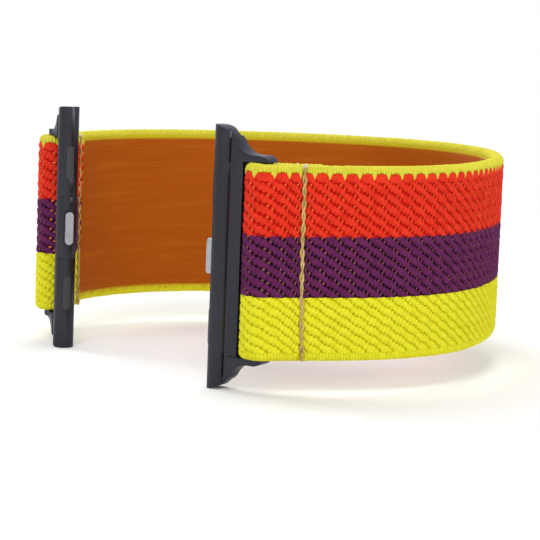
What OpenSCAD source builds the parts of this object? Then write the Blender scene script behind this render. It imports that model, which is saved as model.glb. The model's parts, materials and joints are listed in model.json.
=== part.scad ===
// Stretch watch band: a woven elastic strap, folded and sewn at both ends round the cross pin of a
// metal lug. It stands on its edge, as worn loosely closed: +Z runs across the width of the
// webbing, X from one lug to the other, and the strap loops round behind them, towards +Y.

/* [Webbing] */
// Width of the webbing
web_w = 26; // [18:0.5:32]
// Thickness of the webbing
web_t = 2.1; // [1.2:0.1:3]
// Radius of the woven edges
edge_r = 0.8; // [0.2:0.05:0.9]

/* [Loop] */
// Distance between the two cross pins
pin_gap = 49.2; // [36:0.2:62]
// Straight length of the doubled webbing at each end
fold_len = 10.5; // [9:0.25:14]
// Bend radius of the webbing beside each fold, at mid-thickness
side_r = 27.5; // [20:0.5:36]
// Turn of that bend in degrees
side_turn = 49.5; // [40:0.5:60]
// Bend radius of the flanks, at mid-thickness
flank_r = 49; // [42:0.5:70]
// Turn of each flank in degrees
flank_turn = 32.5; // [26:0.5:36]
// Turn of each half of the back in degrees
back_turn = 33; // [28:0.5:40]

/* [Seam] */
// Distance from the cross pin to the seam
seam_at = 4.75; // [4.7:0.05:6]
// Distance from the cross pin to where the two layers meet
meet_at = 4.2; // [3.9:0.05:4.3]
// Distance from the cross pin to the cut end of the tail
tail_end = 7.6; // [6.5:0.1:9]
// Diameter of the sewing thread at a stitch
thread_d = 0.48; // [0.3:0.02:0.7]
// Diameter of the thread where it dips between stitches
dip_d = 0.3; // [0.16:0.02:0.4]
// Number of stitches across the webbing
stitches = 8; // [6:1:16]
// How far the centre of the thread lies below the face of the webbing
thread_sink = 0.1; // [0.02:0.02:0.2]
// Gap between the thread and its groove
thread_gap = 0.08; // [0.04:0.01:0.14]
// Length of webbing beyond the thread at each edge
thread_inset = 0.4; // [0.2:0.1:1.2]

/* [Cross pin] */
// Diameter of the cross pin
pin_d = 1.6; // [1.2:0.1:2]
// Running gap between the pin and the fold
pin_gap_r = 0.05; // [0.02:0.01:0.1]
// Gap between the pin and its holes in the arms
pin_seat = 0.01; // [0.005:0.005:0.02]

/* [Lug] */
// Overall length of the lug
lug_len = 35.4; // [31:0.2:42]
// Distance from the cross pin to the axis of the bead
bead_at = 6.4; // [5.8:0.1:9]
// Radius of the bead
bead_r = 1.5; // [1.2:0.05:1.7]
// Angle between the lug and the line through the two pins
lug_tilt = 21; // [0:1:30]
// Radius of the corners at the ends of the bead
corner_r = 4.5; // [3:0.1:6]
// Length of the bead end that stays square before its corner
corner_flat = 0.1; // [0.05:0.05:0.6]
// Thickness of the web behind the bead
plate_t = 1.6; // [1.2:0.1:2]
// Gap between the fold and the web
fold_gap = 0.3; // [0.2:0.05:0.5]
// Thickness of each arm along the pin
arm_t = 0.85; // [0.6:0.05:1.2]
// Gap between each arm and the edge of the webbing
arm_gap = 0.1; // [0.05:0.05:0.3]
// Depth of each arm across the pin
arm_d = 2.6; // [2.2:0.1:2.8]
// Radius of the boss round each end of the pin
boss_r = 1.45; // [1.35:0.05:1.7]
// Radius that rounds the tip of each arm down to the webbing
tip_r = 1.7; // [1.2:0.05:2]
// Distance from the cross pin to where that rounding starts
tip_at = 0.4; // [0:0.05:0.6]
// Length of the neck between the bead and the arms
neck_len = 0.6; // [0.2:0.05:0.8]
// Distance from the cross pin to where the arms flare out to the bead ends
flare_at = 4.3; // [3.6:0.1:4.5]
// Radius of that flare
sweep_r = 3; // [1.6:0.1:3.2]

/* [Catch] */
// Length of the catch button's head along the bead
head_len = 4.8; // [3.6:0.2:6]
// Width of the catch button
head_w = 1.2; // [0.9:0.05:1.3]
// How far the head stands out of the bead
head_out = 0.65; // [0.4:0.05:0.8]
// Travel of the catch button
catch_travel = 0.7; // [0.3:0.05:0.8]
// Length of the shoulder that keeps the button in
shoulder_len = 7; // [6.2:0.2:8]
// Thickness of that shoulder
shoulder_t = 0.5; // [0.3:0.05:0.6]
// Length of the cover over the catch
cover_len = 9; // [8.4:0.2:11]
// Depth of the cover, measured from the crown of the bead
cover_t = 0.75; // [0.6:0.05:0.9]
// Running gap round the button
catch_gap = 0.05; // [0.03:0.01:0.08]
// Outer diameter of the catch springs
spring_d = 1; // [0.7:0.05:1.1]
// Wire diameter of the catch springs
wire_d = 0.2; // [0.14:0.02:0.24]
// Turns of each catch spring
coils = 2.5; // [2:0.5:3]
// Length of each catch spring when the button is fully pressed
spring_short = 0.7; // [0.6:0.05:0.75]
// Distance between the two springs of a catch
spring_gap = 4.8; // [3.6:0.2:5.4]

/* [End pads] */
// Length of a pad
pad_len = 5; // [3:0.2:7]
// Width of a pad
pad_w = 1.1; // [0.7:0.05:1.4]
// Depth of a pad below the crown of the bead
pad_t = 0.75; // [0.5:0.05:0.9]
// How far a pad stands out of the bead
pad_out = 0.1; // [0.05:0.01:0.2]
// Distance from the middle of the bead to the middle of a pad
pad_at = 9.5; // [8.8:0.1:11]
// Gap round a pad
pad_gap = 0.03; // [0.01:0.01:0.05]

/* [Hidden] */
$fn = 64;
nib = 0.5;
big = 60;

// The fold: webbing bent round the pin, with its tail turned inwards to meet the outer layer
fold_in = pin_d / 2 + pin_gap_r;
fold_mid = fold_in + web_t / 2;
fold_out = fold_in + web_t;
tail_reach = norm([meet_at, fold_mid - web_t]);
tail_slope = asin(fold_mid / tail_reach) + atan2(fold_mid - web_t, meet_at);
tail_at = web_t - fold_mid;
tail_len = (meet_at - fold_mid * sin(tail_slope)) / cos(tail_slope);
tail_lap = web_t / 2 * tan(tail_slope);

// The loop: three tangent arcs a side, closed by the radius of the back
lean = side_turn + flank_turn + back_turn - 90;
flank_open = back_turn + flank_turn;
side_c = [pin_gap / 2 + fold_len * sin(lean) - (side_r - fold_mid) * cos(lean),
          fold_len * cos(lean) + (side_r - fold_mid) * sin(lean)];
flank_c = side_c - (flank_r - side_r) * [sin(flank_open), cos(flank_open)];
back_r = flank_r + flank_c[0] / sin(back_turn);
back_c = [0, flank_c[1] + (flank_r - back_r) * cos(back_turn)];

// The lug, measured from the pin along the lug
bead_in = bead_at + bead_r;
web_end = fold_out + fold_gap;
arm_in = web_w / 2 + arm_gap;
arm_out = arm_in + arm_t;
arm_root = bead_at - sqrt(pow(bead_r, 2) - pow(plate_t / 2, 2)) - neck_len;
corner_c = [corner_flat - bead_in, lug_len / 2 - corner_r];
sweep_c = [sweep_r - flare_at, arm_out + sweep_r];
flare_share = 0.64;

// The catch and the pads, from the crown of the bead inwards
cover_seat = cover_t - bead_in;
shoulder_at = cover_seat + catch_gap / 2;
spring_at = shoulder_at + shoulder_t;
spring_len = spring_short + catch_travel;
pocket_end = spring_at + spring_len;
coil_steps = 12;
wire_sides = 6;
wire_gap = 0.01;

// The origin lies under the middle of the whole band, at the level of the lugs' lower ends
front_y = -(bead_at * sin(lug_tilt) + bead_r);
rear_y = back_c[1] + back_r + web_t / 2;
centre_y = (front_y + rear_y) / 2;

yellow = [0.88, 0.85, 0.26];
red = [0.92, 0.3, 0.16];
purple = [0.41, 0.14, 0.38];
tan_thread = [0.78, 0.65, 0.39];
graphite = [0.3, 0.31, 0.33];
steel = [0.7, 0.71, 0.73];
soft_grey = [0.16, 0.16, 0.17];

module side(left) {
    translate([0, -centre_y, lug_len / 2]) mirror([left, 0, 0]) children();
}

// Here the pin is at the origin, +X runs along the doubled webbing and +Y into the loop
module at_fold(left) {
    side(left) translate([pin_gap / 2, 0, 0]) rotate([0, 0, 90 - lean]) children();
}

// Here the pin is at the origin and the lug lies along -X
module at_lug(left) {
    side(left) translate([pin_gap / 2, 0, 0]) rotate([0, 0, lug_tilt]) children();
}

// Cross-section of the webbing with its rounded edges, its mid-line at the given distance
module strip_section(middle) {
    translate([middle - web_t / 2, edge_r - web_w / 2]) square([web_t, web_w - 2 * edge_r]);
    translate([middle - web_t / 2 + edge_r, -web_w / 2]) square([web_t - 2 * edge_r, web_w]);
    for (across = [-1, 1], up = [-1, 1])
        translate([middle + across * (web_t / 2 - edge_r), up * (web_w / 2 - edge_r)]) circle(edge_r);
}

module straight_strip(length, middle) {
    rotate([90, 0, 90]) linear_extrude(length) strip_section(middle);
}

module bent_strip(radius, from, turn) {
    rotate([0, 0, from]) rotate_extrude(angle = turn, $fn = 180) strip_section(radius);
}

module thread_groove(middle) {
    translate([seam_at, middle, 0]) cylinder(d = thread_d + 2 * thread_gap, h = big, center = true);
}

module webbing_end(left) {
    color(yellow) at_fold(left) difference() {
        union() {
            straight_strip(fold_len, -fold_mid);
            bent_strip(fold_mid, 90 - tail_slope, 180 + tail_slope);
            rotate([0, 0, -tail_slope]) straight_strip(tail_len, fold_mid);
            translate([meet_at - tail_lap, 0, 0]) straight_strip(tail_end - meet_at + tail_lap, tail_at);
        }
        thread_groove(thread_sink - fold_out);
        thread_groove(tail_at + web_t / 2 - thread_sink);
    }
}

module webbing_side(left) {
    color(red) at_fold(left)
        translate([fold_len, side_r - fold_mid, 0]) bent_strip(side_r, -90, side_turn);
}

module webbing_flank(left) {
    color(red) side(left)
        translate([flank_c[0], flank_c[1], 0]) bent_strip(flank_r, 90 - flank_open, flank_turn);
}

module webbing_back() {
    color(purple) side(0)
        translate([back_c[0], back_c[1], 0]) bent_strip(back_r, 90 - back_turn, 2 * back_turn);
}

// One line of stitches: the thread swells at each stitch and dips into the webbing between them
module seam_thread(left, middle) {
    length = web_w - 2 * thread_inset;
    pitch = length / stitches;
    outline = [for (stitch = [0 : stitches - 1], part = [0, 0.2, 0.8])
        [(part == 0 ? dip_d : thread_d) / 2, (stitch + part) * pitch - length / 2]];
    color(tan_thread) at_fold(left) translate([seam_at, middle, 0]) rotate_extrude()
        polygon(concat([[0, -length / 2]], outline, [[dip_d / 2, length / 2], [0, length / 2]]));
}

// Outline of the lug in its own plane: bead ends with round corners, flaring in to two arms
module lug_outline() {
    flare_half = arm_out + flare_share * sweep_r;
    difference() {
        union() {
            translate([-bead_in - nib, -lug_len / 2]) square([nib + corner_flat, lug_len]);
            translate([-bead_in, -corner_c[1]]) square([bead_in - flare_at, 2 * corner_c[1]]);
            for (up = [-1, 1])
                translate([corner_c[0], up * corner_c[1]]) circle(corner_r);
            translate([-bead_at, -flare_half]) square([bead_at + sweep_c[0], 2 * flare_half]);
            translate([-bead_at, -arm_out]) square([bead_at - tip_at, 2 * arm_out]);
            translate([-bead_at, tip_r - arm_out]) square([bead_at + boss_r + nib, 2 * (arm_out - tip_r)]);
            for (up = [-1, 1])
                translate([-tip_at, up * (arm_out - tip_r)]) circle(tip_r);
        }
        for (up = [-1, 1])
            translate([sweep_c[0], up * sweep_c[1]]) circle(sweep_r);
    }
}

module lug_slab() {
    rotate([90, 0, 0]) linear_extrude(2 * bead_r + 1, center = true) lug_outline();
}

module bead_round(radius) {
    translate([-bead_at, 0, 0]) cylinder(r = radius, h = big, center = true);
}

// A slot with round ends that runs along the bead and is cut in from its crown
module bead_slot(length, width, from, to) {
    translate([from, 0, 0]) rotate([0, 90, 0]) linear_extrude(to - from) {
        square([length - width, width], center = true);
        for (end = [-1, 1])
            translate([end * (length - width) / 2, 0]) circle(d = width);
    }
}

module arm_pair() {
    for (up = [0, 1])
        mirror([0, 0, up]) translate([0, 0, arm_in]) linear_extrude(big) {
            translate([-arm_root, -arm_d / 2]) square([arm_root, arm_d]);
            circle(boss_r);
        }
}

module lug_frame(left) {
    color(graphite) at_lug(left) difference() {
        intersection() {
            lug_slab();
            union() {
                bead_round(bead_r);
                translate([-bead_at, -plate_t / 2, -big / 2]) cube([bead_at - web_end, plate_t, big]);
                arm_pair();
            }
        }
        cylinder(d = pin_d + 2 * pin_seat, h = big, center = true);
        translate([-bead_in - nib, -big / 2, -cover_len / 2 - catch_gap])
            cube([nib + cover_t, big, cover_len + 2 * catch_gap]);
        bead_slot(shoulder_len + 2 * catch_gap, head_w + 2 * catch_gap, cover_seat - nib, pocket_end);
        for (up = [-1, 1])
            translate([0, 0, up * pad_at])
                bead_slot(pad_len + 2 * pad_gap, pad_w + 2 * pad_gap, -bead_in - nib, pad_t - bead_in);
    }
}

// The pin is pressed through both arms, polished flush with them and coated like them
module cross_pin(left) {
    color(graphite) at_lug(left) intersection() {
        cylinder(d = pin_d, h = big, center = true);
        lug_slab();
    }
}

module catch_cover(left) {
    color(graphite) at_lug(left) difference() {
        intersection() {
            bead_round(bead_r);
            translate([-bead_in - nib, -big / 2, -cover_len / 2]) cube([nib + cover_t, big, cover_len]);
        }
        bead_slot(head_len + 2 * catch_gap, head_w + 2 * catch_gap, -bead_in - nib, cover_seat + nib);
    }
}

module catch_button(left) {
    color(steel) at_lug(left) {
        bead_slot(shoulder_len, head_w, shoulder_at, spring_at);
        bead_slot(head_len, head_w, -bead_in - head_out, spring_at);
    }
}

// A coil spring that stands on the XY plane, as rings of wire joined along a helix
module coil_spring(height) {
    steps = ceil(coils * coil_steps);
    mid_r = (spring_d - wire_d) / 2;
    rise = height - wire_d - 2 * wire_gap;
    rings = [for (step = [0 : steps], corner = [0 : wire_sides - 1])
        let (turn = 360 * coils * step / steps, around = 360 * corner / wire_sides,
             reach = mid_r + wire_d / 2 * cos(around))
        [reach * cos(turn), reach * sin(turn),
         wire_d / 2 + wire_gap + rise * step / steps + wire_d / 2 * sin(around)]];
    walls = [for (step = [0 : steps - 1], corner = [0 : wire_sides - 1], half = [0, 1])
        let (here = step * wire_sides, next = here + wire_sides, turned = (corner + 1) % wire_sides)
        half == 0 ? [here + corner, here + turned, next + corner]
                  : [here + turned, next + turned, next + corner]];
    first_cap = [for (corner = [1 : wire_sides - 2]) [0, corner + 1, corner]];
    last = steps * wire_sides;
    last_cap = [for (corner = [1 : wire_sides - 2]) [last, last + corner, last + corner + 1]];
    polyhedron(rings, concat(walls, first_cap, last_cap));
}

module catch_springs(left) {
    color(steel) at_lug(left)
        for (up = [-1, 1])
            translate([spring_at, 0, up * spring_gap / 2]) rotate([0, 90, 0]) coil_spring(spring_len);
}

module end_pad(left, up) {
    color(soft_grey) at_lug(left) intersection() {
        bead_round(bead_r + pad_out);
        translate([0, 0, up * pad_at]) bead_slot(pad_len, pad_w, -bead_in - nib, pad_t - bead_in);
    }
}

webbing_end(0);  // webbing_end_right
webbing_end(1);  // webbing_end_left
webbing_side(0);  // webbing_side_right
webbing_side(1);  // webbing_side_left
webbing_flank(0);  // webbing_flank_right
webbing_flank(1);  // webbing_flank_left
webbing_back();
seam_thread(0, thread_sink - fold_out);  // seam_needle_thread_right
seam_thread(1, thread_sink - fold_out);  // seam_needle_thread_left
seam_thread(0, tail_at + web_t / 2 - thread_sink);  // seam_bobbin_thread_right
seam_thread(1, tail_at + web_t / 2 - thread_sink);  // seam_bobbin_thread_left
lug_frame(0);  // lug_frame_right
lug_frame(1);  // lug_frame_left
cross_pin(0);  // cross_pin_right
cross_pin(1);  // cross_pin_left
catch_button(0);  // catch_button_right
catch_button(1);  // catch_button_left
catch_springs(0);  // catch_springs_right
catch_springs(1);  // catch_springs_left
catch_cover(0);  // catch_cover_right
catch_cover(1);  // catch_cover_left
end_pad(0, 1);  // end_pad_upper_right
end_pad(1, 1);  // end_pad_upper_left
end_pad(0, -1);  // end_pad_lower_right
end_pad(1, -1);  // end_pad_lower_left
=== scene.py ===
import json
from math import asin, atan2, cos, degrees, hypot, pi, radians, sin, tan

import bmesh
import bpy
import numpy as np
from mathutils import Matrix, Vector, noise


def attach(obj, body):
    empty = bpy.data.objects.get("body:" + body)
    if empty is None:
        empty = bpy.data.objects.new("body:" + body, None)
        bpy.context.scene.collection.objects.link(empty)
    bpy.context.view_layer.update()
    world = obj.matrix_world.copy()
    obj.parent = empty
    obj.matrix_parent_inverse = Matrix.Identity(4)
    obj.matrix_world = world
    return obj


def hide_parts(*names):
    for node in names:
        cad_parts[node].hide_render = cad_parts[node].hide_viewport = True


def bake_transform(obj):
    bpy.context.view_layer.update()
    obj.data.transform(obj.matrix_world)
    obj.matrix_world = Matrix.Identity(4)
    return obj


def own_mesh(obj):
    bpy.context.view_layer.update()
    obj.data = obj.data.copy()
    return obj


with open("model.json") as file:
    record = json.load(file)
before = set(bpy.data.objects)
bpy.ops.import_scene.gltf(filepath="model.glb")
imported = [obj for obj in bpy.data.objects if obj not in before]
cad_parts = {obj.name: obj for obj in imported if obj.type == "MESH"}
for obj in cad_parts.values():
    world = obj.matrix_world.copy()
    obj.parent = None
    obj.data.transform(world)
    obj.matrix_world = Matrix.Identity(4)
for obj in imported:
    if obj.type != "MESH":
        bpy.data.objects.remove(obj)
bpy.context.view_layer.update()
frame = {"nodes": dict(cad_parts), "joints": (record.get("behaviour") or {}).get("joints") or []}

# Camera: a long lens at the right of the band and a little above it, so that the near end with its
# seam faces the lens and the inside of the back shows over the upper edge.
focal_px, frame_px, sensor_mm = 2200, 540, 36
camera_at = (0.24785, -0.20906, 0.05333)
yaw, pitch, roll = radians(50.601), radians(7.265), radians(2.222)
camera = bpy.data.objects.new("camera", bpy.data.cameras.new("camera"))
bpy.context.scene.collection.objects.link(camera)
camera.data.sensor_width = sensor_mm
camera.data.lens = focal_px / frame_px * sensor_mm
camera.data.clip_start, camera.data.clip_end = 0.01, 100
ahead = Vector((-sin(yaw) * cos(pitch), cos(yaw) * cos(pitch), -sin(pitch)))
level = ahead.cross(Vector((0, 0, 1))).normalized()
upward = level.cross(ahead)
across = cos(roll) * level + sin(roll) * upward
above = cos(roll) * upward - sin(roll) * level
camera.matrix_world = Matrix.Translation(camera_at) @ Matrix((across, above, -ahead)).transposed().to_4x4()
bpy.context.scene.camera = camera


# Studio: a pale floor that fades to plain white away from the object, a white surround, and four
# large soft lamps. The floor keeps the object's own soft shadow.
def new_piece(name, bm, *materials):
    """Turns a finished bmesh into an object of the scene, with its materials."""
    mesh = bpy.data.meshes.new(name)
    bm.to_mesh(mesh)
    bm.free()
    for material in materials:
        mesh.materials.append(material)
    piece = bpy.data.objects.new(name, mesh)
    bpy.context.scene.collection.objects.link(piece)
    return piece


def shader(name, finish):
    """Starts a material with the plain values of its finish."""
    material = bpy.data.materials.new(name)
    material.use_nodes = True
    nodes, links = material.node_tree.nodes, material.node_tree.links
    for socket, value in finish.items():
        nodes["Principled BSDF"].inputs[socket].default_value = value
    return material, nodes, links


def add_node(nodes, kind, values=(), **settings):
    """Adds a shader node with its settings and the values of its sockets."""
    added = nodes.new("ShaderNode" + kind)
    for setting, value in settings.items():
        setattr(added, setting, value)
    for socket, value in dict(values).items():
        added.inputs[socket].default_value = value
    return added


def seen_plainly(nodes, links):
    """Gives 1 where the lens sees a surface itself, or its mirror image, or sees it through glass."""
    path = add_node(nodes, "LightPath")
    seen = path.outputs["Is Camera Ray"]
    for ray in ("Is Glossy Ray", "Is Transmission Ray"):
        either = add_node(nodes, "Math", operation="MAXIMUM")
        links.new(seen, either.inputs[0])
        links.new(path.outputs[ray], either.inputs[1])
        seen = either.outputs[0]
    return seen


fade_from, fade_to = 0.06, 0.28
paper, nodes, links = shader("floor", {
    "Base Color": (0.88, 0.88, 0.88, 1), "Roughness": 0.9, "Specular IOR Level": 0.1})
white = add_node(nodes, "Emission", {"Color": (1, 1, 1, 1)})
place = add_node(nodes, "TexCoord")
far = add_node(nodes, "VectorMath", operation="LENGTH")
links.new(place.outputs["Object"], far.inputs[0])
fade = add_node(nodes, "MapRange", {"From Min": fade_from, "From Max": fade_to},
                interpolation_type="SMOOTHSTEP")
links.new(far.outputs["Value"], fade.inputs["Value"])
share = add_node(nodes, "Math", operation="MULTIPLY")
links.new(seen_plainly(nodes, links), share.inputs[0])
links.new(fade.outputs["Result"], share.inputs[1])
mix = add_node(nodes, "MixShader")
links.new(share.outputs[0], mix.inputs["Fac"])
links.new(nodes["Principled BSDF"].outputs[0], mix.inputs[1])
links.new(white.outputs[0], mix.inputs[2])
links.new(mix.outputs[0], nodes["Material Output"].inputs["Surface"])
sheet_of_paper = bmesh.new()
bmesh.ops.create_circle(sheet_of_paper, cap_ends=True, segments=96, radius=20)
new_piece("floor", sheet_of_paper, paper)

world = bpy.data.worlds.new("studio")
bpy.context.scene.world = world
world.use_nodes = True
nodes, links = world.node_tree.nodes, world.node_tree.links
soft = nodes["Background"]
soft.inputs["Color"].default_value = (1, 1, 1, 1)
soft.inputs["Strength"].default_value = 0.45
clear = add_node(nodes, "Background", {"Color": (1, 1, 1, 1), "Strength": 1})
mix = add_node(nodes, "MixShader")
links.new(seen_plainly(nodes, links), mix.inputs["Fac"])
links.new(soft.outputs[0], mix.inputs[1])
links.new(clear.outputs[0], mix.inputs[2])
links.new(mix.outputs[0], nodes["World Output"].inputs["Surface"])

lamps_aim_at = Vector((0, 0, 0.018))
for name, place, size, power in (
    ("key_lamp", (0.34, -0.40, 0.55), 0.35, 2.5),
    ("side_lamp", (0.65, 0.15, 0.25), 0.3, 1.2),
    ("top_lamp", (-0.15, 0.2, 0.7), 0.5, 2.0),
    ("left_lamp", (-0.5, -0.1, 0.3), 0.4, 1.8),
):
    lamp = bpy.data.objects.new(name, bpy.data.lights.new(name, "AREA"))
    lamp.data.shape = "DISK"
    lamp.data.size = size
    lamp.data.energy = power
    lamp.location = place
    lamp.rotation_euler = (lamps_aim_at - Vector(place)).to_track_quat("-Z", "Y").to_euler()
    bpy.context.scene.collection.objects.link(lamp)

# Ground of the webbing: the elastic body of the strap, woven flat 26 mm wide and 2.1 mm thick, then
# bent round both cross pins and doubled. The loose floats of its outer face are made after it.
# Every woven piece is made flat, x along the strap, y out of its face and z up, and laid by one call.
MM = 0.001
web_w, web_t, pin_gap = 26, 2.1, 49.2
back_r, back_turn, flank_r, flank_turn, side_r, side_turn = 23.794, 33, 49, 32.5, 27.5, 49.5
fold_len, fold_mid, meet_at, tail_end, tail_bend, seam_at = 10.5, 1.9, 4.2, 7.6, 2.4, 4.75
back_top, centre_y, centre_z = 56.353, 26.8047, 17.7
seam_lean, seam_shift = 0.0204, 0.065
pinch_depth, pinch_reach = 0.34, 0.42

# The tail leaves the round of the fold on a slope, and bends flat where it meets the strap.
tail_reach = hypot(meet_at, fold_mid - web_t)
tail_slope = degrees(asin(fold_mid / tail_reach) + atan2(fold_mid - web_t, meet_at))
tail_len = (meet_at - fold_mid * sin(radians(tail_slope))) / cos(radians(tail_slope))
bend_run = tail_bend * tan(radians(tail_slope / 2))

# The right half of the strap as legs, each turned through an angle at a radius, or straight (0) and
# of a length. A leg is kept with its start: the reach along the strap, the place and the heading.
legs = []
spot, heading, reach = np.array((0.0, back_top)), 0.0, 0.0
for turn, size in (
    (back_turn, back_r), (flank_turn, flank_r), (side_turn, side_r), (0, fold_len),
    (180 + tail_slope, fold_mid), (0, tail_len - bend_run), (-tail_slope, -tail_bend),
    (0, tail_end - meet_at - bend_run),
):
    legs.append((reach, spot, heading, size if turn else 0))
    if turn:
        spot = spot - np.array((-sin(heading), cos(heading))) * size
        heading -= radians(turn)
        spot = spot + np.array((-sin(heading), cos(heading))) * size
        reach += radians(turn) * (size + web_t / 2)
    else:
        spot = spot + np.array((cos(heading), sin(heading))) * size
        reach += size
seam_reach = legs[3][0] + fold_len - seam_at
tail_seam = legs[7][0] + seam_at - meet_at - bend_run

# The rows of the weave are gathered at the fold: flat lengths past the seam, and what they take up.
gather_flat = (-0.97, 1.1, 3.17, 5.24, 7.31, 47.31)
gather_real = (-0.97, 0.85, 2.43, 4.44, 7.4, 63.4)
half_flat = seam_reach + float(np.interp(reach - seam_reach, gather_real, gather_flat))
period = 2.07
tooth_at = seam_reach + gather_flat[0]
first_x = tooth_at - period * int((tooth_at + half_flat) / period)
periods = int((half_flat - first_x) / period)
flat_len = periods * period


def lay_on_loop(mesh):
    """Bends a flat woven mesh, in millimetres, along the loop and puts it in place."""
    flat = np.empty(len(mesh.vertices) * 3)
    mesh.vertices.foreach_get("co", flat)
    flat = flat.reshape(-1, 3)
    side = np.where(flat[:, 0] < 0, -1.0, 1.0)
    along = np.abs(flat[:, 0])
    past = along - seam_reach
    gathered = np.interp(past, gather_flat, gather_real) + seam_reach
    along = np.where(past > gather_flat[0], gathered, along)
    raised = flat[:, 1] + web_t / 2
    for stitched in (seam_reach + seam_lean * flat[:, 2] + seam_shift, tail_seam):
        pinch = pinch_depth * np.exp(-((along - stitched) / pinch_reach) ** 2)
        raised = raised - pinch * np.clip(raised / (web_t / 2), 0, 1.1)
    placed = np.empty_like(flat)
    placed[:, 2] = flat[:, 2] + centre_z
    for number, (start, spot, heading, size) in enumerate(legs):
        here = along >= start
        if number + 1 < len(legs):
            here &= along < legs[number + 1][0]
        run, up = along[here] - start, raised[here]
        if size:
            angle = heading - run / (size + web_t / 2)
            middle = spot - np.array((-sin(heading), cos(heading))) * size
            placed[here, 0] = middle[0] - np.sin(angle) * (size + up)
            placed[here, 1] = middle[1] + np.cos(angle) * (size + up)
        else:
            placed[here, 0] = spot[0] + cos(heading) * run - sin(heading) * up
            placed[here, 1] = spot[1] + sin(heading) * run + cos(heading) * up
    placed[:, 0] *= side
    placed[:, 1] -= centre_y
    mesh.vertices.foreach_set("co", (placed * MM).ravel())
    mesh.update()


def woven(name, bm, *materials, replaces=()):
    """Turns a flat woven bmesh into a piece of the band, bent along the loop, and hides the CAD nodes it
    replaces.
    """
    piece = new_piece(name, bm, *materials)
    lay_on_loop(piece.data)
    piece.data.shade_smooth()
    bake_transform(piece)
    if replaces:
        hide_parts(*replaces)
    return piece


def map_weave(bm, where):
    """Gives every corner its place in the weave, so that a pattern follows the bends."""
    uv = bm.loops.layers.uv.new("weave")
    for face in bm.faces:
        for loop in face.loops:
            loop[uv].uv = where(loop.vert.co)


def colour_ramp(nodes, stops, constant=False):
    ramp = add_node(nodes, "ValToRGB")
    ramp.color_ramp.interpolation = "CONSTANT" if constant else "LINEAR"
    while len(ramp.color_ramp.elements) < len(stops):
        ramp.color_ramp.elements.new(0.5)
    for element, (at, colour) in zip(ramp.color_ramp.elements, stops):
        element.position = at
        element.color = (*colour, 1)
    return ramp


def srgb(*levels):
    return tuple((level / 255 / 12.92) if level <= 10 else ((level / 255 + 0.055) / 1.055) ** 2.4
                 for level in levels)


ground_depth, ground_slack, ground_round = 0.31, 0.5, 0.7
ground_steps, ground_rows = 900, 12
ground = bmesh.new()
bmesh.ops.create_cube(ground, size=1)
bmesh.ops.scale(ground, vec=(flat_len, web_t - ground_depth, web_w - ground_slack), verts=ground.verts)
bmesh.ops.translate(ground, verts=ground.verts,
                    vec=(first_x + flat_len / 2, -(web_t + ground_depth) / 2, 0))
lengthwise = [edge for edge in ground.edges if abs(edge.verts[0].co.x - edge.verts[1].co.x) > 1]
bmesh.ops.bevel(ground, geom=lengthwise, offset=ground_round, segments=4, profile=0.5,
                affect="EDGES", material=-1)
lengthwise = [edge for edge in ground.edges if abs(edge.verts[0].co.x - edge.verts[1].co.x) > 1]
bmesh.ops.subdivide_edges(ground, edges=lengthwise, cuts=ground_steps)
upright = [edge for edge in ground.edges if abs(edge.verts[0].co.z - edge.verts[1].co.z) > 10
           and 0.01 < edge.verts[0].co.x - first_x < flat_len - 0.01]
bmesh.ops.subdivide_edges(ground, edges=upright, cuts=ground_rows)
map_weave(ground, lambda co: (co.x, co.z))
for face in ground.faces:
    if face.calc_center_median().y < -web_t + 0.05 or face.normal.y < -0.5:
        face.material_index = 1

under, nodes, links = shader("weave_ground", {"Roughness": 0.9, "Specular IOR Level": 0.15})
flat_map = add_node(nodes, "UVMap", uv_map="weave")
parts = add_node(nodes, "SeparateXYZ")
links.new(flat_map.outputs["UV"], parts.inputs[0])
height = add_node(nodes, "MapRange", {"From Min": web_w / 2, "From Max": -web_w / 2})
links.new(parts.outputs["Y"], height.inputs["Value"])
# The ground shows only in the gaps between the floats. Its colours are darker than the floats': partly the
# yarn's own colour, partly painted shade of the narrow gaps, and the near-black under the purple is
# painted shade.
bands = colour_ramp(nodes, [
    (0, srgb(214, 206, 30)), (1.4 / web_w, srgb(178, 12, 2)),
    (9.35 / web_w, srgb(26, 4, 20)), (17.45 / web_w, srgb(198, 190, 10))], constant=True)
links.new(height.outputs["Result"], bands.inputs["Fac"])
links.new(bands.outputs["Color"], nodes["Principled BSDF"].inputs["Base Color"])

# The inner face is smooth: orange yarns drawn along the strap, and the yellow of the bound edges.
rim_starts, rim_full = 1.5, 1.1
inner, nodes, links = shader("inner_face", {
    "Roughness": 0.72, "Specular IOR Level": 0.1, "Sheen Weight": 0.03, "Sheen Roughness": 0.4})
flat_map = add_node(nodes, "UVMap", uv_map="weave")
drawn = add_node(nodes, "Mapping", {"Scale": (0.07, 1.1, 1)})
links.new(flat_map.outputs["UV"], drawn.inputs["Vector"])
streaks = add_node(nodes, "TexNoise", {"Scale": 1.0, "Detail": 3})
links.new(drawn.outputs[0], streaks.inputs["Vector"])
tone = colour_ramp(nodes, [(0.3, srgb(164, 78, 8)), (0.55, srgb(168, 83, 9)), (0.75, srgb(174, 93, 12))])
links.new(streaks.outputs["Fac"], tone.inputs["Fac"])
parts = add_node(nodes, "SeparateXYZ")
links.new(flat_map.outputs["UV"], parts.inputs[0])
from_middle = add_node(nodes, "Math", operation="ABSOLUTE")
links.new(parts.outputs["Y"], from_middle.inputs[0])
rim = add_node(nodes, "MapRange", {"From Min": web_w / 2 - rim_starts, "From Max": web_w / 2 - rim_full})
links.new(from_middle.outputs[0], rim.inputs["Value"])
rim_mix = add_node(nodes, "Mix", {"B": (*srgb(196, 180, 30), 1)}, data_type="RGBA")
links.new(rim.outputs["Result"], rim_mix.inputs["Factor"])
links.new(tone.outputs["Color"], rim_mix.inputs["A"])
links.new(rim_mix.outputs["Result"], nodes["Principled BSDF"].inputs["Base Color"])
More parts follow.
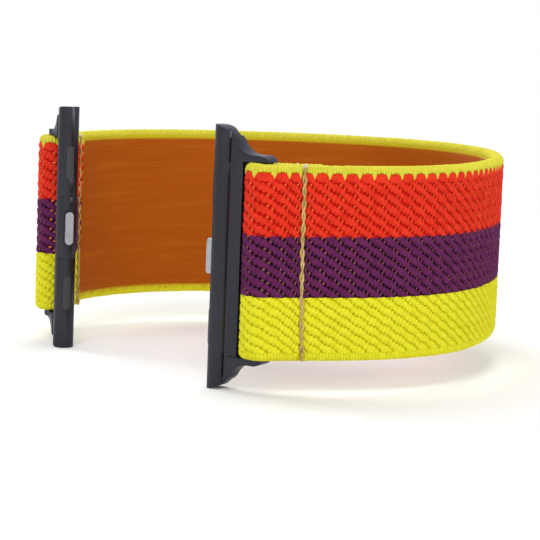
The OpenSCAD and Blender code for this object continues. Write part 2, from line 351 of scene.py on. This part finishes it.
cords = add_node(nodes, "TexWave", {"Scale": 0.55, "Distortion": 0.6, "Detail": 2},
                 wave_type="BANDS", bands_direction="Y")
links.new(flat_map.outputs["UV"], cords.inputs["Vector"])
relief = add_node(nodes, "Bump", {"Strength": 0.12, "Distance": 0.0001})
links.new(cords.outputs["Fac"], relief.inputs["Height"])
links.new(relief.outputs[0], nodes["Principled BSDF"].inputs["Normal"])

strap = woven("webbing_ground", ground, under, inner, replaces=(
    "webbing_end_right", "webbing_end_left", "webbing_side_right", "webbing_side_left",
    "webbing_flank_right", "webbing_flank_left", "webbing_back"))

# Twill floats: the plump loops of soft textured polyester that cover the outer face. They lie in
# ribs that fall by a quarter of a row at every column, and change colour at scalloped borders.
columns = 4
column_w = period / columns
groove_rise = (0, 0.33, 0.5, 0.67, 1)
row_marks, row_depths = (-2, 0, 5, 11, 18, 20), (-1.26, 1.58, 8.69, 16.92, 25.66, 28.2)
skew, skew_zero = 0.02, 3
red_top = (1.45, 1.3, 1.3, 1.45)
red_end = (9.52, 9.22, 9.12, 9.34)
purple_end = (17.45, 17.42, 17.4, 17.43)
yellow_end = (24.9, 24.9, 24.9, 24.9)
bands_of = {"red": (red_top, red_end), "purple": (red_end, purple_end), "yellow": (purple_end, yellow_end)}
float_w = {"red": 1.0, "purple": 1.03, "yellow": 1.1}
float_reach = {"red": 0.98, "purple": 1.02, "yellow": 1.1}
float_h, float_taper, float_tip, least_float = 0.6, 1.2, radians(5), 0.15


def yarn(name, light, dark, filament_shade):
    """Soft textured yarn: fine filaments along each float with painted shade between them, and a tone that
    wanders a little.
    """
    material, nodes, links = shader(name, {
        "Roughness": 0.78, "Specular IOR Level": 0.12,
        "Sheen Weight": 0.08, "Sheen Roughness": 0.45, "Sheen Tint": (*light, 1)})
    place = add_node(nodes, "TexCoord")
    wander = add_node(nodes, "TexNoise", {"Scale": 900, "Detail": 2})
    links.new(place.outputs["Object"], wander.inputs["Vector"])
    tone = colour_ramp(nodes, [(0.3, dark), (0.62, light)])
    links.new(wander.outputs["Fac"], tone.inputs["Fac"])
    along = add_node(nodes, "UVMap", uv_map="weave")
    drawn = add_node(nodes, "Mapping", {"Scale": (14, 1.5, 1)})
    links.new(along.outputs["UV"], drawn.inputs["Vector"])
    filaments = add_node(nodes, "TexNoise", {"Scale": 1, "Detail": 2})
    links.new(drawn.outputs[0], filaments.inputs["Vector"])
    # Between the filaments the yarn is darkened towards its shade colour: painted shade in the fine
    # grooves, which the bump below also makes.
    fine = colour_ramp(nodes, [(0.32, filament_shade), (0.5, (1, 1, 1))])
    links.new(filaments.outputs["Fac"], fine.inputs["Fac"])
    shade = add_node(nodes, "Mix", {"Factor": 0.55}, data_type="RGBA", blend_type="MULTIPLY")
    links.new(tone.outputs["Color"], shade.inputs["A"])
    links.new(fine.outputs["Color"], shade.inputs["B"])
    links.new(shade.outputs["Result"], nodes["Principled BSDF"].inputs["Base Color"])
    relief = add_node(nodes, "Bump", {"Strength": 0.5, "Distance": 0.00006})
    links.new(filaments.outputs["Fac"], relief.inputs["Height"])
    links.new(relief.outputs[0], nodes["Principled BSDF"].inputs["Normal"])
    return material


def one_float(length, width, height, taper=2.0, sides=8, rings=6):
    """One float, lying along z, with the filaments mapped along it. A low taper gives pointed ends."""
    plump = 2.2
    bm = bmesh.new()
    bmesh.ops.create_uvsphere(bm, u_segments=sides, v_segments=rings, radius=0.5)
    for vert in bm.verts:
        around = (abs(vert.co.x * 2) ** taper + abs(vert.co.z * 2) ** taper) ** (1 / taper)
        vert.co /= (around ** plump + abs(vert.co.y * 2) ** plump) ** (1 / plump)
    bmesh.ops.scale(bm, vec=(width, height, length), verts=bm.verts)
    map_weave(bm, lambda co: (co.x + co.y, co.z))
    return bm


def new_yarns():
    bm = bmesh.new()
    bm.loops.layers.uv.new("weave")
    return bm


def add(target, part, matrix):
    """Puts a moved copy of one small part into a growing piece."""
    bmesh.ops.transform(part, matrix=matrix, verts=part.verts)
    mesh = bpy.data.meshes.new("part")
    part.to_mesh(mesh)
    target.from_mesh(mesh)
    bpy.data.meshes.remove(mesh)
    bmesh.ops.transform(part, matrix=matrix.inverted(), verts=part.verts)


def repeat(bm, times):
    """Repeats one period of the weave along the strap."""
    bmesh.ops.spin(bm, geom=bm.verts[:] + bm.edges[:] + bm.faces[:], cent=(0, 0, 0), axis=(0, 0, 1),
                   dvec=(period, 0, 0), angle=0, steps=times - 1, use_duplicate=True)


noise.seed_set(1)


def loosen(bm, amount, scale):
    """Woven yarn is never quite even: moves the points a little, the same way at every run."""
    finer, finer_share = 3.1, 0.7
    for vert in bm.verts:
        coarse_move = noise.noise_vector(vert.co * scale)
        fine_move = noise.noise_vector(vert.co * scale * finer) * finer_share
        vert.co += (coarse_move + fine_move) * amount


def cut_ends(bm):
    """Cuts the yarns off where the strap was cut to length, and closes the cuts."""
    proud = 0.02
    for cut_x, side in ((first_x - proud, -1), (first_x + flat_len + proud, 1)):
        bmesh.ops.bisect_plane(bm, geom=bm.verts[:] + bm.edges[:] + bm.faces[:],
                               plane_co=(cut_x, 0, 0), plane_no=(side, 0, 0), clear_outer=True)
    bmesh.ops.holes_fill(bm, edges=[edge for edge in bm.edges if edge.is_boundary], sides=0)


def groove(row, column):
    """Depth below the upper edge where the floats of one row meet the next, at one column."""
    return float(np.interp(row - groove_rise[column], row_marks, row_depths))


def on_strap(x, depth, y):
    return Vector((x + skew * (depth - skew_zero), y, web_w / 2 - depth))


def clip(bm, top, bottom):
    """Keeps the part of a float that lies between two depths, and closes the cuts."""
    for depth, side in ((top, 1), (bottom, -1)):
        bmesh.ops.bisect_plane(bm, geom=bm.verts[:] + bm.edges[:] + bm.faces[:], clear_outer=True,
                               plane_co=(0, 0, web_w / 2 - depth), plane_no=(0, 0, side))
    bmesh.ops.holes_fill(bm, edges=[edge for edge in bm.edges if edge.is_boundary], sides=0)


float_pieces = {"red": new_yarns(), "purple": new_yarns(), "yellow": new_yarns()}
for column in range(columns):
    for row in range(-1, 20):
        head = on_strap(column * column_w, groove(row, column), -ground_depth)
        foot = on_strap((column + 1) * column_w, groove(row + 1, column + 1), -ground_depth)
        span = head - foot
        for colour, (tops, bottoms) in bands_of.items():
            top, bottom = tops[column], bottoms[column]
            upper, lower = web_w / 2 - head.z, web_w / 2 - foot.z
            if min(lower, bottom) - max(upper, top) > least_float:
                yarn_loop = one_float(span.length * float_reach[colour], float_w[colour], float_h,
                                      float_taper)
                bmesh.ops.transform(yarn_loop, verts=yarn_loop.verts,
                                    matrix=Matrix.Translation((head + foot) / 2)
                                    @ Matrix.Rotation(atan2(span.x, span.z), 4, "Y")
                                    @ Matrix.Rotation(float_tip, 4, "X"))
                clip(yarn_loop, top, bottom)
                add(float_pieces[colour], yarn_loop, Matrix.Identity(4))
                yarn_loop.free()

# A long loop lies along the upper edge at every period, and makes the scallop there.
edge_loop_len, edge_loop_w, edge_loop_h, edge_loop_depth, edge_loop_y = 2.05, 1.3, 0.58, 1.6, -0.28
edge_loop = one_float(edge_loop_len, edge_loop_w, edge_loop_h, sides=12, rings=8)
add(float_pieces["red"], edge_loop,
    Matrix.Translation(on_strap(period / 2, edge_loop_depth, edge_loop_y))
    @ Matrix.Rotation(pi / 2, 4, "Y"))
edge_loop.free()
yarns = {
    "red": yarn("red_yarn", srgb(222, 54, 31), srgb(207, 42, 22), (0.8, 0.6, 0.5)),
    "purple": yarn("purple_yarn", srgb(99, 35, 82), srgb(84, 26, 70), (0.7, 0.55, 0.7)),
    "yellow": yarn("yellow_yarn", srgb(221, 217, 44), srgb(213, 208, 30), (0.9, 0.9, 0.5)),
}
yarn_stir, yarn_stir_scale = 0.07, 1.1
for colour, bm in float_pieces.items():
    repeat(bm, periods)
    bmesh.ops.translate(bm, vec=(first_x, 0, 0), verts=bm.verts)
    loosen(bm, yarn_stir, yarn_stir_scale)
    cut_ends(bm)
    woven("floats_" + colour, bm, yarns[colour])

# Binding yarn: the thin gold weft that shows as small bright bars in the gaps of the red and the
# purple twill, two gaps out of every four. The gaps open where the strap is bent round the pins.
bar_h, bar_lean, bars_from, bars_to, shaded_below = 0.26, radians(54), 2.0, 17.2, 9.3
open_from = periods - 9
binder = new_yarns()
for first, last, bar_len, bar_w, bar_y in (
    (0, 4, 0.42, 0.26, -0.2), (4, 12, 0.32, 0.2, -0.24), (12, open_from - 3, 0.24, 0.16, -0.26),
    (open_from - 3, periods - 4, 0.32, 0.2, -0.24), (periods - 4, periods, 0.42, 0.26, -0.2),
):
    bars = new_yarns()
    for column in (0, 1):
        for row in range(20):
            depth = groove(row, column)
            if bars_from < depth < bars_to:
                bar = one_float(bar_len, bar_w, bar_h, sides=6, rings=4)
                for face in bar.faces:
                    # Small bars in the purple take the darker copy of the gold: painted shade of the deep
                    # gaps.
                    face.material_index = int(depth > shaded_below and bar_len < 0.4)
                add(bars, bar, Matrix.Translation(on_strap(column * column_w, depth, bar_y))
                    @ Matrix.Rotation(bar_lean, 4, "Y"))
                bar.free()
    repeat(bars, last - first)
    add(binder, bars, Matrix.Translation((first_x + first * period, 0, 0)))
    bars.free()
loosen(binder, yarn_stir, yarn_stir_scale)
cut_ends(binder)
# The gold is tinted orange: partly its own colour, partly painted red light thrown on it by the red
# floats. The shaded gold is a darker copy of the same yarn: painted shade for the small bars deep between
# the purple floats.
gold = yarn("gold_yarn", srgb(228, 134, 50), srgb(196, 102, 34), (0.8, 0.65, 0.5))
shaded_gold = yarn("shaded_gold_yarn", srgb(160, 124, 62), srgb(116, 86, 42), (0.8, 0.65, 0.5))
woven("binding_yarn", binder, gold, shaded_gold)

# Selvedges: both edges are bound by the yellow weft, which turns round the edge side by side. On the
# outer face it ends in small teeth between the scallops of the first floats.
wraps_each, wrap_overlap, wrap_step, wrap_round, wrap_slack, wrap_soft = 5, 1.14, 0.14, 0.8, 0.1, 0.4
tooth_len, tooth_w, tooth_h, tooth_taper, tooth_depth, tooth_y = 2.3, 0.95, 0.56, 1.15, 0.8, -0.29
tooth_top, tooth_bottom = 0.75, 3
edge_stir, edge_stir_scale = 0.06, 1.3


def wrap_thread(depth_out, width):
    """One turn of the weft over the upper edge of the strap, from face to face."""
    bm = bmesh.new()
    bmesh.ops.create_cube(bm, size=1)
    bmesh.ops.scale(bm, vec=(width, web_t - wrap_slack, depth_out), verts=bm.verts)
    bmesh.ops.translate(bm, verts=bm.verts,
                        vec=(0, -web_t / 2 - wrap_slack / 2, web_w / 2 - depth_out / 2))
    corners = [edge for edge in bm.edges
               if min(vert.co.z for vert in edge.verts) > web_w / 2 - 0.01
               and abs(edge.verts[0].co.x - edge.verts[1].co.x) > width / 2]
    bmesh.ops.bevel(bm, geom=corners, offset=wrap_round, segments=5, profile=0.5,
                    affect="EDGES", material=-1)
    outline = [edge for edge in bm.edges if abs(edge.verts[0].co.x - edge.verts[1].co.x) < width / 2]
    bmesh.ops.bevel(bm, geom=outline, offset=width * wrap_soft, segments=2, profile=0.5,
                    affect="EDGES", material=-1)
    map_weave(bm, lambda co: (co.x, co.z + co.y))
    return bm


edge_yarn = yarn("selvedge_yarn", srgb(210, 203, 66), srgb(200, 192, 52), (0.88, 0.88, 0.55))
# The lower edge takes the brighter yellow of the floats in place of the selvedge yarn: painted light,
# which lifts this downward-facing edge out of its shade.
for name, up, depth, material in (
    ("selvedge_upper", 1, 0.85, edge_yarn), ("selvedge_lower", -1, 1.2, yarns["yellow"]),
):
    edging = new_yarns()
    for number in range(wraps_each):
        thread = wrap_thread(depth + wrap_step * (number % 2), period / wraps_each * wrap_overlap)
        place = Matrix.Translation(((number + 0.5) * period / wraps_each, 0, 0))
        if up < 0:
            place = place @ Matrix.Rotation(pi, 4, "Y")
        add(edging, thread, place)
        thread.free()
    if up > 0:
        tooth = one_float(tooth_len, tooth_w, tooth_h, tooth_taper)
        bmesh.ops.translate(tooth, vec=(0, tooth_y, web_w / 2 - tooth_depth), verts=tooth.verts)
        clip(tooth, tooth_top, tooth_bottom)
        add(edging, tooth, Matrix.Identity(4))
        tooth.free()
    repeat(edging, periods)
    bmesh.ops.translate(edging, vec=(first_x, 0, 0), verts=edging.verts)
    loosen(edging, edge_stir, edge_stir_scale)
    cut_ends(edging)
    woven(name, edging, material)

# Seams: two lines of stout tan thread, twisted from two plies, that sew the doubled ends together.
# Each stitch swells and dips, and the line ends in a small knot at the upper edge.
thread_inset, thread_short, stitches, thread_r, thread_twists = 0.4, 0.2, 8, 0.3, 8
ply_sides, ply_r, ply_out, steps_a_turn = 6, thread_r * 0.54, thread_r * 0.56, 20
stitch_len = (web_w - 2 * thread_inset) / stitches
needle_y, bobbin_y = -2.85, 1.15
thin, swell_by, swell_power, sag = 0.66, 0.42, 0.7, 0.2
wander, wander_pace, lines_apart = 0.14, 0.55, 3.1
knot_r, knot_stir, knot_stir_scale, end_from = 0.3, 0.08, 5, 0.24
filament_twist, filament_pace = 0.8, 0.4


def twisted_thread(length, turns):
    """Two plies wound round each other along z, half above and half below the middle."""
    bm = bmesh.new()
    for ply in (0, pi):
        ring = bmesh.ops.create_circle(bm, cap_ends=False, segments=ply_sides, radius=ply_r)
        bmesh.ops.translate(bm, vec=(ply_out, 0, 0), verts=ring["verts"])
        bmesh.ops.rotate(bm, cent=(0, 0, 0), matrix=Matrix.Rotation(ply, 3, "Z"), verts=ring["verts"])
        edges = [edge for edge in bm.edges
                 if edge.verts[0] in ring["verts"] and edge.verts[1] in ring["verts"]]
        steps = turns * steps_a_turn
        bmesh.ops.spin(bm, geom=edges, cent=(0, 0, 0), axis=(0, 0, 1), dvec=(0, 0, length / steps),
                       angle=turns * 2 * pi, steps=steps)
    bmesh.ops.holes_fill(bm, edges=[edge for edge in bm.edges if edge.is_boundary], sides=ply_sides)
    bmesh.ops.recalc_face_normals(bm, faces=bm.faces)
    bmesh.ops.translate(bm, vec=(0, 0, -length / 2), verts=bm.verts)
    return bm


thread_yarn = yarn("seam_thread", srgb(208, 184, 116), srgb(170, 142, 78), (0.5, 0.42, 0.3))
thread_end = yarn("thread_end", srgb(212, 198, 172), srgb(190, 174, 148), (0.8, 0.75, 0.7))
fold_angle = radians(180 - side_turn - flank_turn - back_turn)
for node, side, height, knot_below in (
    ("seam_needle_thread_right", 1, needle_y, 0.04), ("seam_needle_thread_left", -1, needle_y, 0.04),
    ("seam_bobbin_thread_right", 1, bobbin_y, 0.3), ("seam_bobbin_thread_left", -1, bobbin_y, 0.3),
):
    seam = twisted_thread(web_w - thread_short, thread_twists)
    for vert in seam.verts:
        x, y, z = vert.co
        phase = ((z + web_w / 2) / stitch_len) % 1
        swell = thin + swell_by * sin(pi * phase) ** swell_power if 0 < phase < 1 else thin
        strays = wander * noise.noise(Vector((side * lines_apart + height, 0, z * wander_pace)))
        pulled = seam_lean * z + seam_shift + sag * (1 - (2 * z / web_w) ** 2)
        vert.co = (x * swell + strays - pulled, y * swell, z)
    knot = bmesh.new()
    bmesh.ops.create_icosphere(knot, subdivisions=2, radius=knot_r)
    for vert in knot.verts:
        vert.co += noise.noise_vector(vert.co * knot_stir_scale + Vector((height, 0, 0))) * knot_stir
    knot_z = web_w / 2 - knot_below
    add(seam, knot, Matrix.Translation((-seam_lean * knot_z - seam_shift, 0, knot_z)))
    knot.free()
    for face in seam.faces:
        face.material_index = int(face.calc_center_median().z > web_w / 2 - end_from)
    map_weave(seam, lambda co: (co.x + co.y + co.z * filament_twist, co.z * filament_pace))
    bmesh.ops.transform(seam, verts=seam.verts, matrix=Matrix.Scale(MM, 4)
                        @ Matrix.Translation((pin_gap / 2, -centre_y, centre_z))
                        @ Matrix.Rotation(fold_angle, 4, "Z")
                        @ Matrix.Translation((seam_at, height, 0)))
    if side < 0:
        bmesh.ops.scale(seam, vec=(-1, 1, 1), verts=seam.verts)
        bmesh.ops.reverse_faces(seam, faces=seam.faces)
    piece = new_piece(node + "_twist", seam, thread_yarn, thread_end)
    piece.data.shade_smooth()
    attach(piece, "band")
    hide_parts(node)


# Lugs: one machined piece each, with a bead that slides into a slot, a web and two arms. A cover
# closes the catch into each bead. The graphite coating of both is smooth and glossy, and their
# edges are broken by a small round.
def grained(nodes, links, pattern, dark, light, scale=(1, 1, 1)):
    """Colours a material by a fine noise, and gives the noise."""
    place = add_node(nodes, "TexCoord")
    drawn = add_node(nodes, "Mapping", {"Scale": scale})
    links.new(place.outputs["Object"], drawn.inputs["Vector"])
    grain = add_node(nodes, "TexNoise", pattern)
    links.new(drawn.outputs[0], grain.inputs["Vector"])
    tone = colour_ramp(nodes, [dark, light])
    links.new(grain.outputs["Fac"], tone.inputs["Fac"])
    links.new(tone.outputs["Color"], nodes["Principled BSDF"].inputs["Base Color"])
    return grain


def roughened(nodes, links, grain, least, most):
    rough = add_node(nodes, "MapRange", {"To Min": least, "To Max": most})
    links.new(grain.outputs["Fac"], rough.inputs["Value"])
    links.new(rough.outputs["Result"], nodes["Principled BSDF"].inputs["Roughness"])


def embossed(nodes, links, grain, strength, distance):
    relief = add_node(nodes, "Bump", {"Strength": strength, "Distance": distance})
    links.new(grain.outputs["Fac"], relief.inputs["Height"])
    links.new(relief.outputs[0], nodes["Principled BSDF"].inputs["Normal"])


def coat_nodes(material, *names):
    """Gives CAD nodes that keep their own shape a better material."""
    for name in names:
        for slot in frame["nodes"][name].material_slots:
            slot.material = material


weld, edge_round, flat_within, edge_from, sharp_from = 1e-6, 0.08 * MM, 0.5, 32, 38
lug_metal, nodes, links = shader("graphite_coating", {
    "Metallic": 0.85, "Specular Tint": (0.62, 0.62, 0.7, 1)})
grain = grained(nodes, links, {"Scale": 2600, "Detail": 3},
                (0.35, srgb(52, 53, 58)), (0.65, srgb(57, 58, 64)))
roughened(nodes, links, grain, 0.28, 0.34)
embossed(nodes, links, grain, 0.03, 0.00002)
for node in ("lug_frame_right", "lug_frame_left", "catch_cover_right", "catch_cover_left"):
    cut = bmesh.new()
    cut.from_mesh(frame["nodes"][node].data)
    bmesh.ops.remove_doubles(cut, verts=cut.verts, dist=weld)
    bmesh.ops.dissolve_limit(cut, angle_limit=radians(flat_within), verts=cut.verts, edges=cut.edges)
    sharp = [edge for edge in cut.edges
             if len(edge.link_faces) == 2 and edge.calc_face_angle() > radians(edge_from)]
    bmesh.ops.bevel(cut, geom=sharp, offset=edge_round, segments=2, profile=0.5, affect="EDGES",
                    material=-1, clamp_overlap=True)
    piece = new_piece(node + "_eased", cut, lug_metal)
    piece.data.shade_smooth()
    piece.data.set_sharp_from_angle(angle=radians(sharp_from))
    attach(piece, "lug_" + node.split("_")[-1])
    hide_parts(node)

# Cross pins: steel pins, pressed through both arms and through the fold of the webbing, polished
# flush with the arms and coated like them.
coat_nodes(lug_metal, "cross_pin_right", "cross_pin_left")

# Catch buttons: a rounded button of polished steel in each bead, which snaps out in the slot and is
# pressed in with a fingertip to slide the band out.
steel, nodes, links = shader("polished_steel", {"Metallic": 1})
lines = grained(nodes, links, {"Scale": 1},
                (0.3, srgb(150, 152, 156)), (0.7, srgb(178, 180, 184)), scale=(9000, 9000, 700))
roughened(nodes, links, lines, 0.2, 0.34)
coat_nodes(steel, "catch_button_right", "catch_button_left")

# Catch springs: two small coils of bright steel wire behind each button. They stand in pockets of
# the bead and push the button out. The real coils shorten to just under half their length when it is
# pressed; these copies keep their length and ride with the lug.
wire_sharp_from = 50
for joint in frame["joints"]:
    if joint["name"] in ("catch_press_right", "catch_press_left"):
        side_name = joint["name"].split("_")[-1]
        node = "catch_springs_" + side_name
        coils = bmesh.new()
        coils.from_mesh(frame["nodes"][node].data)
        bmesh.ops.remove_doubles(coils, verts=coils.verts, dist=weld)
        pressed = Vector(joint["axis"])
        foot = max(coils.verts, key=lambda vert: vert.co.dot(pressed)).co.copy()
        piece = new_piece(node + "_wire", coils, steel)
        piece.data.shade_smooth()
        piece.data.set_sharp_from_angle(angle=radians(wire_sharp_from))
        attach(piece, "lug_" + side_name)
        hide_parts(node)
        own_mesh(piece)

# End pads: small pads of dark soft plastic, pressed into both ends of each bead. They keep it from
# rattling in its slot.
pad_plastic, nodes, links = shader("pad_plastic", {"Roughness": 0.6})
pores = grained(nodes, links, {"Scale": 5000}, (0.3, srgb(36, 36, 39)), (0.7, srgb(50, 50, 53)))
embossed(nodes, links, pores, 0.15, 0.00003)
coat_nodes(pad_plastic, "end_pad_upper_right", "end_pad_upper_left", "end_pad_lower_right",
           "end_pad_lower_left")

bpy.context.scene.view_settings.view_transform = "Standard"
